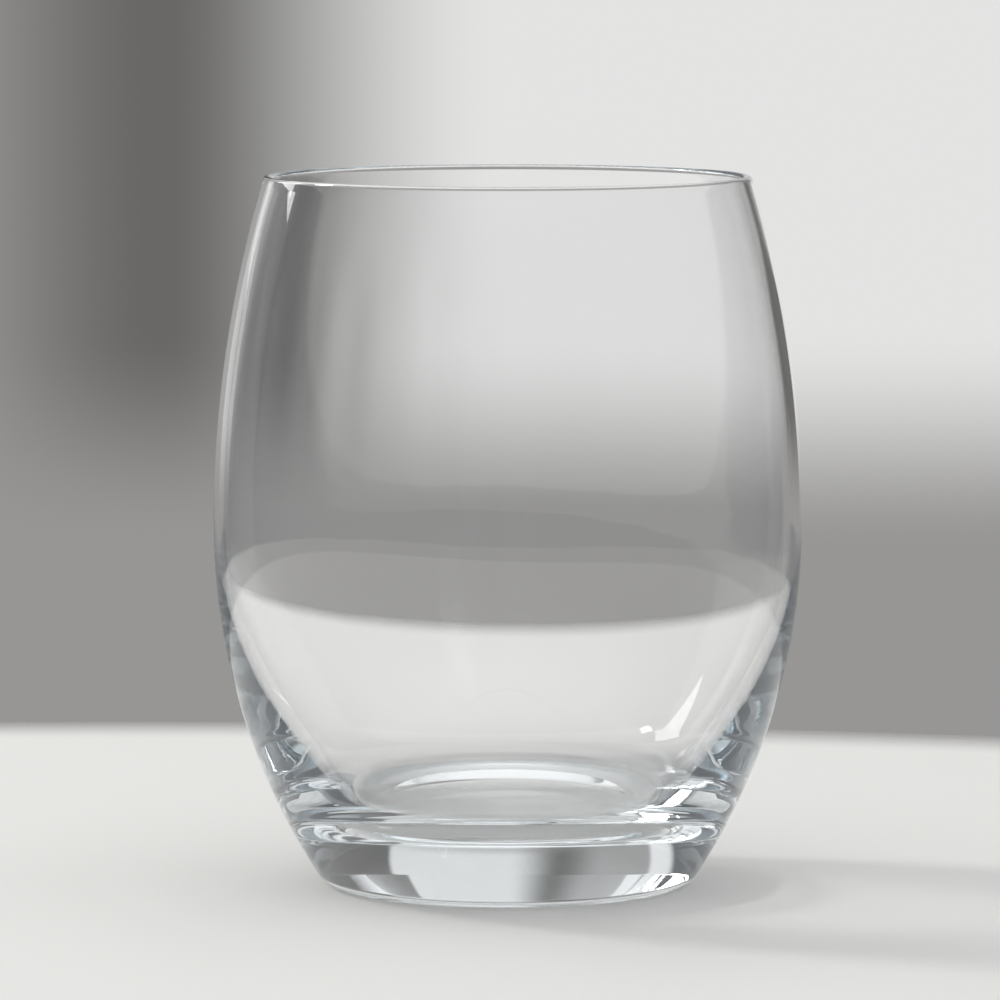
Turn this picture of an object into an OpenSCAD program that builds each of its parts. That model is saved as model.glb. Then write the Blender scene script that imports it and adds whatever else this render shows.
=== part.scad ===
// Stemless wine glass: a blown bowl on a thick clear foot.
// The axis of the glass is Z, and the table is the plane z = 0. Sizes are in millimetres.

/* [Outside] */
// Height of the glass from the table to the top of the rim
glass_h = 106.3; // [100:0.1:115]
// Radius of the widest ring around the belly
belly_r = 44; // [42.5:0.5:47]
// Height of the widest ring above the table
belly_z = 54.2; // [52:0.1:58]
// Radius of the middle of the rounded rim
mouth_r = 35.8; // [33:0.1:39]
// Radius at which the curve of the side would meet the table
base_r = 27.4; // [26:0.1:30]

/* [Wall] */
// Thickness of the wall at the belly
belly_wall = 1.2; // [1:0.1:2]
// Thickness of the wall at the rim, where it ends in a full round
rim_wall = 1.3; // [1:0.1:1.8]

/* [Inside] */
// Height at which the inside is widest
inside_z = 55.5; // [53:0.1:58]
// Radius of the lower curve of the inside
inside_arc = 68; // [62:0.5:72]
// Height of the middle of the inside floor above the table
floor_z = 10.5; // [9.5:0.1:12]
// Radius of the ball that shapes the inside floor
floor_ball = 400; // [200:10:600]
// Radius of the round between the inside wall and the floor
floor_round = 12; // [8:0.5:16]

/* [Foot] */
// Height of the fused joint between the foot and the bowl
joint_z = 8; // [5:0.5:9]
// Radius of the rounded heel
heel_round = 4; // [2:0.5:5]
// Radius of the hollow under the foot
punt_r = 19.5; // [15:0.5:21]
// Depth of the hollow under the foot at its middle
punt_depth = 0.8; // [0.4:0.1:1.6]

/* [Hidden] */
$fn = 180;
// Spare length of every cutting shape past the outline that it cuts
spare = 8;
// Reach of a round past the curves that it joins, so that they cross and leave no sliver between them
blend = 0.002;
// Middle of the rounded rim, and the radius of its round
cap_r = rim_wall / 2;
rim_mid = [mouth_r, glass_h - cap_r];
// Arc along the middle of the upper wall, and the direction from the inside to the outside at the rim
mid_belly = belly_r - belly_wall / 2;
mid_arc = arc_radius(mid_belly - mouth_r, rim_mid[1] - belly_z);
rim_across = (rim_mid - [mid_belly - mid_arc, belly_z]) / mid_arc;
// Points where the round of the rim meets the outside and the inside
rim_out = rim_mid + cap_r * rim_across;
rim_in = rim_mid - cap_r * rim_across;
// Radius of the widest ring of the inside
inside_r = belly_r - belly_wall;
// Radius of the ball that leaves the hollow under the foot
punt_ball = arc_radius(punt_depth, punt_r);

// Radius of an arc that starts square to its run, and moves by run while it rises by rise
function arc_radius(run, rise) = (rise * rise + run * run) / (2 * run);

// Point at a distance from one point, in the direction away from another
function beyond(point, from, distance) = point + (point - from) * distance / norm(point - from);

// Distance along the line between two circle centres at which their crossings lie
function crossing_along(r1, r2, gap) = (r1 * r1 - r2 * r2 + gap * gap) / (2 * gap);

// The crossing of two circles that is farther from the axis, where the second centre is the higher one
function outer_crossing(c1, r1, c2, r2) =
    let (gap = norm(c2 - c1))
    let (ahead = (c2 - c1) / gap)
    let (along = crossing_along(r1, r2, gap))
    c1 + along * ahead + sqrt(r1 * r1 - along * along) * [ahead[1], -ahead[0]];

// Half section of an upper bulge: upright at the belly, and then an arc that leans in through a point
module upper_bulge(belly, low_z, through, top_z) {
    arc = arc_radius(belly - through[0], through[1] - low_z);
    intersection() {
        translate([belly - arc, low_z]) circle(r = arc);
        translate([0, low_z]) square([belly + spare, top_z - low_z]);
    }
}

// Half section inside the outer surface, from the standing ring up past the rim
module outside_section() {
    side_arc = arc_radius(belly_r - base_r, belly_z);
    side_centre = [belly_r - side_arc, belly_z];
    heel_run = sqrt(pow(side_arc - heel_round, 2) - pow(belly_z - heel_round, 2));
    heel = [side_centre[0] + heel_run + blend, heel_round];
    past_touch = beyond(heel, side_centre, heel_round + spare);
    upper_bulge(belly_r, belly_z, rim_out, glass_h + spare);
    // Lower side, down to where the heel touches it
    intersection() {
        translate(side_centre) circle(r = side_arc);
        polygon([[0, heel_round], heel, past_touch, [belly_r + spare, belly_z], [0, belly_z]]);
    }
    // Heel
    translate(heel) circle(r = heel_round);
    // Flat bottom inside the heel
    square(heel);
}

// Half section of the space inside the bowl, from the floor up past the rim
module inside_section() {
    side_centre = [inside_r - inside_arc, inside_z];
    ball_centre = [0, floor_z + floor_ball];
    corner = outer_crossing(side_centre, inside_arc - floor_round, ball_centre, floor_ball - floor_round);
    past_side = beyond(corner, side_centre, floor_round + spare);
    past_floor = beyond(corner, ball_centre, floor_round + spare);
    upper_bulge(inside_r, inside_z, rim_in, glass_h + 2 * spare);
    // Lower side, down to where the round touches it
    intersection() {
        translate(side_centre) circle(r = inside_arc);
        polygon([[0, corner[1]], corner, past_side, [belly_r + spare, inside_z], [0, inside_z]]);
    }
    // Round between the side and the floor
    translate(corner) circle(r = floor_round + blend);
    // Floor
    intersection() {
        translate(ball_centre) circle(r = floor_ball);
        polygon([[0, corner[1]], corner, past_floor, [0, past_floor[1]]]);
    }
}

// Half plane above the line square across the wall at the middle of the rim
module above_rim() {
    left = rim_mid - spare * rim_across;
    right = rim_mid + spare * rim_across;
    upward = 2 * spare * [-rim_across[1], rim_across[0]];
    polygon([left, right, right + upward, left + upward]);
}

// Half section of all the glass
module glass_section() {
    difference() {
        outside_section();
        inside_section();
        above_rim();
        translate([0, punt_depth - punt_ball]) circle(r = punt_ball);
    }
    translate(rim_mid) circle(r = cap_r + blend);
}

// Half section of a level slice of the glass
module glass_slice(low_z, high_z) {
    intersection() {
        glass_section();
        translate([0, low_z]) square([belly_r + spare, high_z - low_z]);
    }
}

// Blown bowl: the inside floor, the side and the rounded rim
module bowl() {
    color("lightcyan", 0.4) rotate_extrude() glass_slice(joint_z, glass_h + spare);
}

// Thick foot: the heel, the ring that it stands on and the hollow underneath
module foot() {
    color("powderblue", 0.4) rotate_extrude() glass_slice(-spare, joint_z);
}

bowl();
foot();
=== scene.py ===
# Stemless wine glass: one clear turned body on a plain pale floor, in a plain grey studio.
# Sizes are in millimetres, as on a drawing, and MM turns them into Blender's metres.

import math

import bpy
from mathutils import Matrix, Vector


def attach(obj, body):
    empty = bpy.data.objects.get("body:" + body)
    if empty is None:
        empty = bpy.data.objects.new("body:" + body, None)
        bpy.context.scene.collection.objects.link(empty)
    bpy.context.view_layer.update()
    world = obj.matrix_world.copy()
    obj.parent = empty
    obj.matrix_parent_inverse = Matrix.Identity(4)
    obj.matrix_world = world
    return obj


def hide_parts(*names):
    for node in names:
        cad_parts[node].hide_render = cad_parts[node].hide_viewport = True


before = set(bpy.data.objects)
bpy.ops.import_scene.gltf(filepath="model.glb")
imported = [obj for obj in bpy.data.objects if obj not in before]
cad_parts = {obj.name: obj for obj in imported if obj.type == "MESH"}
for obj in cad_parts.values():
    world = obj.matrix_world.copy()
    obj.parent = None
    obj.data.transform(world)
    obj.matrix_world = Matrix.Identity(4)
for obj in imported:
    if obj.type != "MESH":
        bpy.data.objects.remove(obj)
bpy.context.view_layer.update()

MM = 0.001

# Outside of the glass
GLASS_H = 106.3
BELLY_R = 44.0
BELLY_Z = 54.2
BASE_R = 27.4
MOUTH_R = 35.8

# Wall and rounded rim
BELLY_WALL = 1.2
RIM_WALL = 1.3

# Inside, with its own belly height and floor
INSIDE_Z = 55.5
INSIDE_ARC = 68.0
FLOOR_Z = 10.5
FLOOR_BALL = 400.0
FLOOR_ROUND = 12.0

# Foot, and the hollow under it with its softened edge
HEEL_ROUND = 4.0
PUNT_R = 19.5
PUNT_DEPTH = 0.8
PUNT_EDGE = 0.8

# Faint upright ripples of the blown wall: waves around the axis, depth, and turn in degrees
RIPPLES = [(9, 0.012, 20), (16, 0.009, 75), (25, 0.007, 140), (33, 0.005, 10)]
RIPPLE_LOW, RIPPLE_HIGH, RIPPLE_FADE = 44.0, 98.0, 12.0

# Steps of a turned mesh around its axis, the longest step and the fewest steps along an arc, and the steps
# across the standing ring
AROUND = 240
ARC_STEP = 1.1
ARC_COUNT = 14
RING_COUNT = 5


def sine(degrees):
    """Sine of an angle in degrees."""
    return math.sin(math.radians(degrees))


def arc_radius(run, rise):
    """Radius of an arc that starts square to its run, and moves by run while it rises by rise."""
    return (rise * rise + run * run) / (2 * run)


def arc(centre, radius, start, end):
    """Points on an arc, its end left out. Angles are in degrees from the outward direction."""
    count = max(ARC_COUNT, math.ceil(radius * math.radians(abs(end - start)) / ARC_STEP))
    angles = [math.radians(start + (end - start) * i / count) for i in range(count)]
    return [(centre[0] + radius * math.cos(a), centre[1] + radius * math.sin(a)) for a in angles]


def line(start, end, count):
    """Evenly spaced points on a line, its end left out."""
    steps = [i / count for i in range(count)]
    return [(start[0] + (end[0] - start[0]) * t, start[1] + (end[1] - start[1]) * t) for t in steps]


def outer_crossing(first, first_r, second, second_r):
    """The crossing of two circles that is farther from the axis. The second centre is the higher one."""
    gap = second - first
    along = (first_r ** 2 - second_r ** 2 + gap.length_squared) / (2 * gap.length)
    across = math.sqrt(first_r ** 2 - along ** 2)
    ahead = gap.normalized()
    return first + along * ahead + across * Vector((ahead.y, -ahead.x))


def rim_points():
    """Middle of the rounded rim, and the points where its round meets the outside and the inside."""
    half = RIM_WALL / 2
    middle = Vector((MOUTH_R, GLASS_H - half))
    belly = BELLY_R - BELLY_WALL / 2
    centre = Vector((belly - arc_radius(belly - middle.x, middle.y - BELLY_Z), BELLY_Z))
    across = (middle - centre).normalized()
    return middle, middle + half * across, middle - half * across


def outside_side(rim_out):
    """Points from the standing ring, round the heel, up the lower arc and the upper arc to the rim."""
    upper_r = arc_radius(BELLY_R - rim_out.x, rim_out.y - BELLY_Z)
    lower_r = arc_radius(BELLY_R - BASE_R, BELLY_Z)
    lower_x = BELLY_R - lower_r
    heel_x = lower_x + math.sqrt((lower_r - HEEL_ROUND) ** 2 - (BELLY_Z - HEEL_ROUND) ** 2)
    touch = math.degrees(math.atan2(HEEL_ROUND - BELLY_Z, heel_x - lower_x))
    rim_angle = math.degrees(math.asin((rim_out.y - BELLY_Z) / upper_r))
    points = arc((heel_x, HEEL_ROUND), HEEL_ROUND, -90, touch)
    points += arc((lower_x, BELLY_Z), lower_r, touch, 0)
    return points + arc((BELLY_R - upper_r, BELLY_Z), upper_r, 0, rim_angle)


def inside_side(rim_in):
    """Points from the rim down the upper arc and the lower arc, round the corner, to the floor's middle."""
    belly = BELLY_R - BELLY_WALL
    upper_r = arc_radius(belly - rim_in.x, rim_in.y - INSIDE_Z)
    rim_angle = math.degrees(math.asin((rim_in.y - INSIDE_Z) / upper_r))
    lower = Vector((belly - INSIDE_ARC, INSIDE_Z))
    ball = Vector((0, FLOOR_Z + FLOOR_BALL))
    corner = outer_crossing(lower, INSIDE_ARC - FLOOR_ROUND, ball, FLOOR_BALL - FLOOR_ROUND)
    side_touch, floor_touch = (math.degrees(math.atan2(*(corner - c).yx)) for c in (lower, ball))
    points = arc((belly - upper_r, INSIDE_Z), upper_r, rim_angle, 0)
    points += arc(lower, INSIDE_ARC, 0, side_touch)
    points += arc(corner, FLOOR_ROUND, side_touch, floor_touch)
    return points + arc(ball, FLOOR_BALL, floor_touch, -90) + [(0, FLOOR_Z)]


def punt_side():
    """Points of the hollow under the foot, from the axis to its softened edge on the standing ring."""
    ball = arc_radius(PUNT_DEPTH, PUNT_R)
    low = PUNT_DEPTH - ball
    edge_x = math.sqrt((ball + PUNT_EDGE) ** 2 - (PUNT_EDGE - low) ** 2)
    touch = math.degrees(math.atan2(PUNT_EDGE - low, edge_x))
    points = arc((0, low), ball, 90, touch)
    return points + arc((edge_x, PUNT_EDGE), PUNT_EDGE, touch - 180, -90) + [(edge_x, 0)]


def glass_outline():
    """Half section of the glass from the axis under the foot over the rim, and where its inside begins."""
    middle, rim_out, rim_in = rim_points()
    lean = math.degrees(math.atan2(rim_out.y - middle.y, rim_out.x - middle.x))
    underside = punt_side()
    outside = outside_side(rim_out)
    ring = line(underside[-1], outside[0], RING_COUNT)[1:]
    rim = arc(middle, RIM_WALL / 2, lean, lean + 180)
    outer = underside + ring + outside + rim
    return outer + inside_side(rim_in), len(outer)


def ripple(turn, z):
    """How far the inside wall stands out at a turn around the axis and a height, dying out at both ends."""
    fade = max(0.0, min(1.0, (z - RIPPLE_LOW) / RIPPLE_FADE, (RIPPLE_HIGH - z) / RIPPLE_FADE))
    return fade * sum(depth * math.sin(waves * turn + math.radians(at)) for waves, depth, at in RIPPLES)


def placed(name, data):
    """An object in the scene for a mesh, a lamp or a camera."""
    obj = bpy.data.objects.new(name, data)
    bpy.context.scene.collection.objects.link(obj)
    return obj


def lathe(name, outline, rippled_from=None):
    """A closed smooth body turned from an outline that starts and ends on the axis."""
    rings = outline[1:-1]
    turns = [2 * math.pi * i / AROUND for i in range(AROUND)]
    verts = [(0, 0, outline[0][1] * MM)]
    for place, (r, z) in enumerate(rings, start=1):
        rippled = rippled_from is not None and place >= rippled_from
        for a in turns:
            reach = (r + ripple(a, z) if rippled else r) * MM
            verts.append((reach * math.cos(a), reach * math.sin(a), z * MM))
    verts.append((0, 0, outline[-1][1] * MM))
    faces = []
    top_ring = 1 + (len(rings) - 1) * AROUND
    for i in range(AROUND):
        j = (i + 1) % AROUND
        faces.append((0, 1 + j, 1 + i))
        for low in range(1, top_ring, AROUND):
            faces.append((low + i, low + j, low + AROUND + j, low + AROUND + i))
        faces.append((top_ring + i, top_ring + j, len(verts) - 1))
    mesh = bpy.data.meshes.new(name)
    mesh.from_pydata(verts, [], faces)
    mesh.polygons.foreach_set("use_smooth", [True] * len(mesh.polygons))
    return placed(name, mesh)


def new_material(name):
    """A material with nodes, and its node tree."""
    mat = bpy.data.materials.new(name)
    mat.use_nodes = True
    return mat, mat.node_tree


def eased(tree, source, low, high, to_low=0, to_high=1):
    """A smooth step between two values while a socket's value goes from low to high."""
    node = tree.nodes.new("ShaderNodeMapRange")
    node.interpolation_type = "SMOOTHSTEP"
    for name, value in zip(("From Min", "From Max", "To Min", "To Max"), (low, high, to_low, to_high)):
        node.inputs[name].default_value = value
    tree.links.new(source, node.inputs["Value"])
    return node.outputs["Result"]


# Sockets of a mix node when it mixes colours
MIX_FACTOR, MIX_FIRST, MIX_SECOND, MIX_RESULT = 0, 6, 7, 2


def mixed(tree, factor, first, second):
    """A mix of two colours by a socket's value; each colour is a socket or plain numbers."""
    node = tree.nodes.new("ShaderNodeMix")
    node.data_type = "RGBA"
    tree.links.new(factor, node.inputs[MIX_FACTOR])
    for place, colour in ((MIX_FIRST, first), (MIX_SECOND, second)):
        if isinstance(colour, tuple):
            node.inputs[place].default_value = (*colour, 1)
        else:
            tree.links.new(colour, node.inputs[place])
    return node.outputs[MIX_RESULT]


# Clear glass: how it bends light, and its tint where it is thick as a colour and a density per metre
GLASS_IOR = 1.52
TINT = (0.80, 0.86, 0.89)
TINT_DENSITY = 10.0

# Polish: wash marks as patches of roughness, which begin and are full at two levels of their pattern, and
# faint upright draw lines as bump. The scales of both patterns are per metre
MARK_SCALE = (70.0, 70.0, 70.0)
MARK_FROM, MARK_FULL = 0.5, 0.75
MARK_ROUGHNESS = 0.010
DRAW_SCALE = (260.0, 260.0, 26.0)
DRAW_DEPTH = 0.003


def noise(tree, scale):
    """A noise pattern on the object, with its own scale along each axis."""
    coord = tree.nodes.new("ShaderNodeTexCoord")
    stretch = tree.nodes.new("ShaderNodeMapping")
    stretch.inputs["Scale"].default_value = scale
    pattern = tree.nodes.new("ShaderNodeTexNoise")
    pattern.inputs["Scale"].default_value = 1.0
    tree.links.new(coord.outputs["Object"], stretch.inputs["Vector"])
    tree.links.new(stretch.outputs["Vector"], pattern.inputs["Vector"])
    return pattern.outputs["Fac"]


def glass_material():
    """Clear polished glass with a cool tint where it is thick."""
    mat, tree = new_material("clear_glass")
    shader = tree.nodes["Principled BSDF"]
    shader.inputs["Base Color"].default_value = (1, 1, 1, 1)
    shader.inputs["IOR"].default_value = GLASS_IOR
    shader.inputs["Transmission Weight"].default_value = 1.0
    marks = eased(tree, noise(tree, MARK_SCALE), MARK_FROM, MARK_FULL, 0, MARK_ROUGHNESS)
    tree.links.new(marks, shader.inputs["Roughness"])
    bump = tree.nodes.new("ShaderNodeBump")
    bump.inputs["Distance"].default_value = DRAW_DEPTH * MM
    tree.links.new(noise(tree, DRAW_SCALE), bump.inputs["Height"])
    tree.links.new(bump.outputs["Normal"], shader.inputs["Normal"])
    tint = tree.nodes.new("ShaderNodeVolumeAbsorption")
    tint.inputs["Color"].default_value = (*TINT, 1)
    tint.inputs["Density"].default_value = TINT_DENSITY
    tree.links.new(tint.outputs["Volume"], tree.nodes["Material Output"].inputs["Volume"])
    return mat


# Oval stage floor: its far edge is behind the glass, and the glass stands a hair above its paint
STAGE_R = 340.0
STAGE_WIDE = 1.3
STAGE_EDGE = 6.0
STAGE_THICK = 30.0
STAGE_LEFT = 64.0
STAGE_FAR = 200.0
STAGE_FADE = 30.0
STAGE_GAP = 0.03
STAGE_COUNT = 6
STAGE_PAINT = (0.80, 0.80, 0.785)
STAGE_ROUGHNESS = 0.6
STAGE_SHEEN = 0.15


def stage_floor():
    """Plain pale floor with a rounded edge that fades out."""
    side = STAGE_R - STAGE_EDGE
    outline = [(0, -STAGE_THICK), (side / 2, -STAGE_THICK)]
    outline += arc((side, STAGE_EDGE - STAGE_THICK), STAGE_EDGE, -90, 0)
    outline += arc((side, -STAGE_EDGE), STAGE_EDGE, 0, 90)
    outline += line((side, 0), (0, 0), STAGE_COUNT) + [(0, 0)]
    floor = lathe("stage_floor", outline)
    floor.location = (-STAGE_LEFT * MM, (STAGE_FAR - STAGE_R) * MM, -STAGE_GAP * MM)
    floor.scale = (STAGE_WIDE, 1, 1)
    mat, tree = new_material("stage_paint")
    shader = tree.nodes["Principled BSDF"]
    shader.inputs["Base Color"].default_value = (*STAGE_PAINT, 1)
    shader.inputs["Roughness"].default_value = STAGE_ROUGHNESS
    shader.inputs["Specular IOR Level"].default_value = STAGE_SHEEN
    coord = tree.nodes.new("ShaderNodeTexCoord")
    reach = tree.nodes.new("ShaderNodeVectorMath")
    reach.operation = "LENGTH"
    tree.links.new(coord.outputs["Object"], reach.inputs[0])
    fade = eased(tree, reach.outputs["Value"], (STAGE_R - STAGE_FADE) * MM, STAGE_R * MM, 1, 0)
    tree.links.new(fade, shader.inputs["Alpha"])
    floor.data.materials.append(mat)
    floor.cycles.is_caustics_receiver = True


# Greys of the studio
WHITE = (0.90, 0.90, 0.90)
PALE = (0.77, 0.77, 0.765)
GREY = (0.38, 0.375, 0.37)
# Painted shade: the darker grey that the backdrop card glows with at its foot
SHADE = (0.31, 0.305, 0.30)
DARK = (0.14, 0.137, 0.133)
SLATE = (0.11, 0.115, 0.125)
OVERHEAD = (1.15, 1.15, 1.15)

# Backdrop card: where it stands, and its tones by distance to the right of the glass. From the left they are
# a strip of light, a grey to dark flag, a pale sweep and a dark flag, which clear glass bends into its bands
CARD_Y = 500.0
CARD_LEFT, CARD_RIGHT = -400.0, 520.0
CARD_LOW, CARD_HIGH = -300.0, 700.0
CARD_TONES = [
    (CARD_LEFT, WHITE), (-285, WHITE), (-262, GREY), (-150, GREY), (-76, DARK), (0, PALE),
    (190, PALE), (206, DARK), (CARD_RIGHT, DARK),
]
# Heights between which the card's glow turns from a painted shade, a plain grey, at its foot to these tones,
# and the width over which its left end comes out of the slate surroundings
SHADE_LOW, SHADE_HIGH = 0.0, 50.0
CARD_FADE = 50.0

# Heights in degrees between which the surroundings turn from slate to bright overhead
OVERHEAD_FROM, OVERHEAD_TO = 25, 54


def tone_ramp(tree, source, tones):
    """A soft ramp of tones along a socket's value; each tone is a place and a colour."""
    low, high = tones[0][0], tones[-1][0]
    place = tree.nodes.new("ShaderNodeMapRange")
    place.inputs["From Min"].default_value = low
    place.inputs["From Max"].default_value = high
    tree.links.new(source, place.inputs["Value"])
    ramp = tree.nodes.new("ShaderNodeValToRGB")
    ramp.color_ramp.interpolation = "EASE"
    stops = ramp.color_ramp.elements
    for value, colour in tones[1:-1]:
        stops.new((value - low) / (high - low)).color = (*colour, 1)
    stops[0].color = (*tones[0][1], 1)
    stops[len(stops) - 1].color = (*tones[-1][1], 1)
    tree.links.new(place.outputs["Result"], ramp.inputs["Fac"])
    return ramp.outputs["Color"]


def glow_material(name):
    """A material that glows, its node tree and its shader."""
    mat, tree = new_material(name)
    tree.nodes.remove(tree.nodes["Principled BSDF"])
    glow = tree.nodes.new("ShaderNodeEmission")
    tree.links.new(glow.outputs[0], tree.nodes["Material Output"].inputs["Surface"])
    return mat, tree, glow


def stage_panel(name, corners, mat):
    """A flat panel of the studio, whose object coordinates are in millimetres."""
    mesh = bpy.data.meshes.new(name)
    mesh.from_pydata(corners, [], [(0, 1, 2, 3)])
    mesh.materials.append(mat)
    panel = placed(name, mesh)
    panel.scale = (MM, MM, MM)


def backdrop_card():
    """Upright card behind the floor that glows in soft upright tones, with a painted shade of plain grey at
    its foot.
    """
    mat, tree, glow = glow_material("backdrop_tones")
    coord = tree.nodes.new("ShaderNodeTexCoord")
    split = tree.nodes.new("ShaderNodeSeparateXYZ")
    tree.links.new(coord.outputs["Object"], split.inputs[0])
    tones = tone_ramp(tree, split.outputs["X"], CARD_TONES)
    # Painted shade: the card's glow darkens to a plain grey towards its foot
    height = eased(tree, split.outputs["Z"], SHADE_LOW, SHADE_HIGH)
    shaded = mixed(tree, height, SHADE, tones)
    side = eased(tree, split.outputs["X"], CARD_LEFT, CARD_LEFT + CARD_FADE)
    tree.links.new(mixed(tree, side, SLATE, shaded), glow.inputs["Color"])
    edges = [(CARD_LEFT, CARD_LOW), (CARD_RIGHT, CARD_LOW), (CARD_RIGHT, CARD_HIGH), (CARD_LEFT, CARD_HIGH)]
    stage_panel("backdrop", [(x, CARD_Y, z) for x, z in edges], mat)


def studio_world():
    """Plain surroundings: slate low down, and bright overhead."""
    world = bpy.data.worlds.new("studio")
    bpy.context.scene.world = world
    world.use_nodes = True
    tree = world.node_tree
    coord = tree.nodes.new("ShaderNodeTexCoord")
    split = tree.nodes.new("ShaderNodeSeparateXYZ")
    tree.links.new(coord.outputs["Generated"], split.inputs[0])
    up = eased(tree, split.outputs["Z"], sine(OVERHEAD_FROM), sine(OVERHEAD_TO))
    tree.links.new(mixed(tree, up, SLATE, OVERHEAD), tree.nodes["Background"].inputs["Color"])


def direction(bearing, height):
    """Unit vector towards a bearing from the far side, positive to the right, and a height, in degrees."""
    b, h = math.radians(bearing), math.radians(height)
    return Vector((math.sin(b) * math.cos(h), math.cos(b) * math.cos(h), math.sin(h)))


# Softbox: the bearings and heights in degrees that it fills, its distance and its glow
SOFTBOX_BEARINGS = (-58, -37)
SOFTBOX_HEIGHTS = (15, 33)
SOFTBOX_DISTANCE = 2000.0
SOFTBOX_GLOW = 4.5


def softbox():
    """Large soft panel to the left and behind, which gives the inside of the glass its leaf of light."""
    mat, _, glow = glow_material("softbox_glow")
    glow.inputs["Color"].default_value = (1, 1, 1, 1)
    glow.inputs["Strength"].default_value = SOFTBOX_GLOW
    (left, right), (low, high) = SOFTBOX_BEARINGS, SOFTBOX_HEIGHTS
    places = [(left, low), (right, low), (right, high), (left, high)]
    stage_panel("softbox", [SOFTBOX_DISTANCE * direction(*place) for place in places], mat)


# Key light: bearing from the far side and height in degrees, distance and size, and power in watts
KEY_BEARING = -65
KEY_HEIGHT = 38
KEY_DISTANCE = 2600.0
KEY_SIZE = 350.0
KEY_POWER = 25.0
KEY_COLOUR = (1.0, 0.98, 0.95)


def key_light():
    """Soft lamp from the left and a little behind, whose light the glass bends onto the floor."""
    lamp = bpy.data.lights.new("key", "AREA")
    lamp.size = KEY_SIZE * MM
    lamp.energy = KEY_POWER
    lamp.color = KEY_COLOUR
    lamp.cycles.is_caustics_light = True
    obj = placed("key", lamp)
    away = direction(KEY_BEARING, KEY_HEIGHT)
    obj.location = KEY_DISTANCE * MM * away
    obj.rotation_mode = "QUATERNION"
    obj.rotation_quaternion = away.to_track_quat("Z", "Y")


# Camera: distance in front of the glass and height, tilt down and turn in degrees, lens and sensor
CAMERA_BACK = 1050.0
CAMERA_Z = 155.7
CAMERA_TILT = 5.331
CAMERA_TURN = 0.0626
CAMERA_LENS = 253.8
CAMERA_SENSOR = 36.0


def camera():
    """Camera at the photograph's angle, turned a little so that the glass stands right of the middle."""
    data = bpy.data.cameras.new("camera")
    data.sensor_width = CAMERA_SENSOR
    data.lens = CAMERA_LENS
    cam = placed("camera", data)
    cam.location = (0, -CAMERA_BACK * MM, CAMERA_Z * MM)
    cam.rotation_euler = (math.radians(90 - CAMERA_TILT), 0, math.radians(CAMERA_TURN))
    bpy.context.scene.camera = cam


def glass_body():
    """The whole glass as one piece, in place of both CAD solids."""
    outline, inside_begins = glass_outline()
    glass = lathe("glass_body", outline, inside_begins)
    glass.data.materials.append(glass_material())
    glass.cycles.is_caustics_caster = True
    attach(glass, "root")
    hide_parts("bowl", "foot")


camera()
studio_world()
backdrop_card()
softbox()
key_light()
stage_floor()
glass_body()

# Light stays alive through the many reflections inside the thick wall and foot
LIGHT_BOUNCES = 96
scene = bpy.context.scene
scene.view_settings.view_transform = "Standard"
scene.cycles.max_bounces = LIGHT_BOUNCES
scene.cycles.transmission_bounces = LIGHT_BOUNCES
scene.cycles.glossy_bounces = LIGHT_BOUNCES
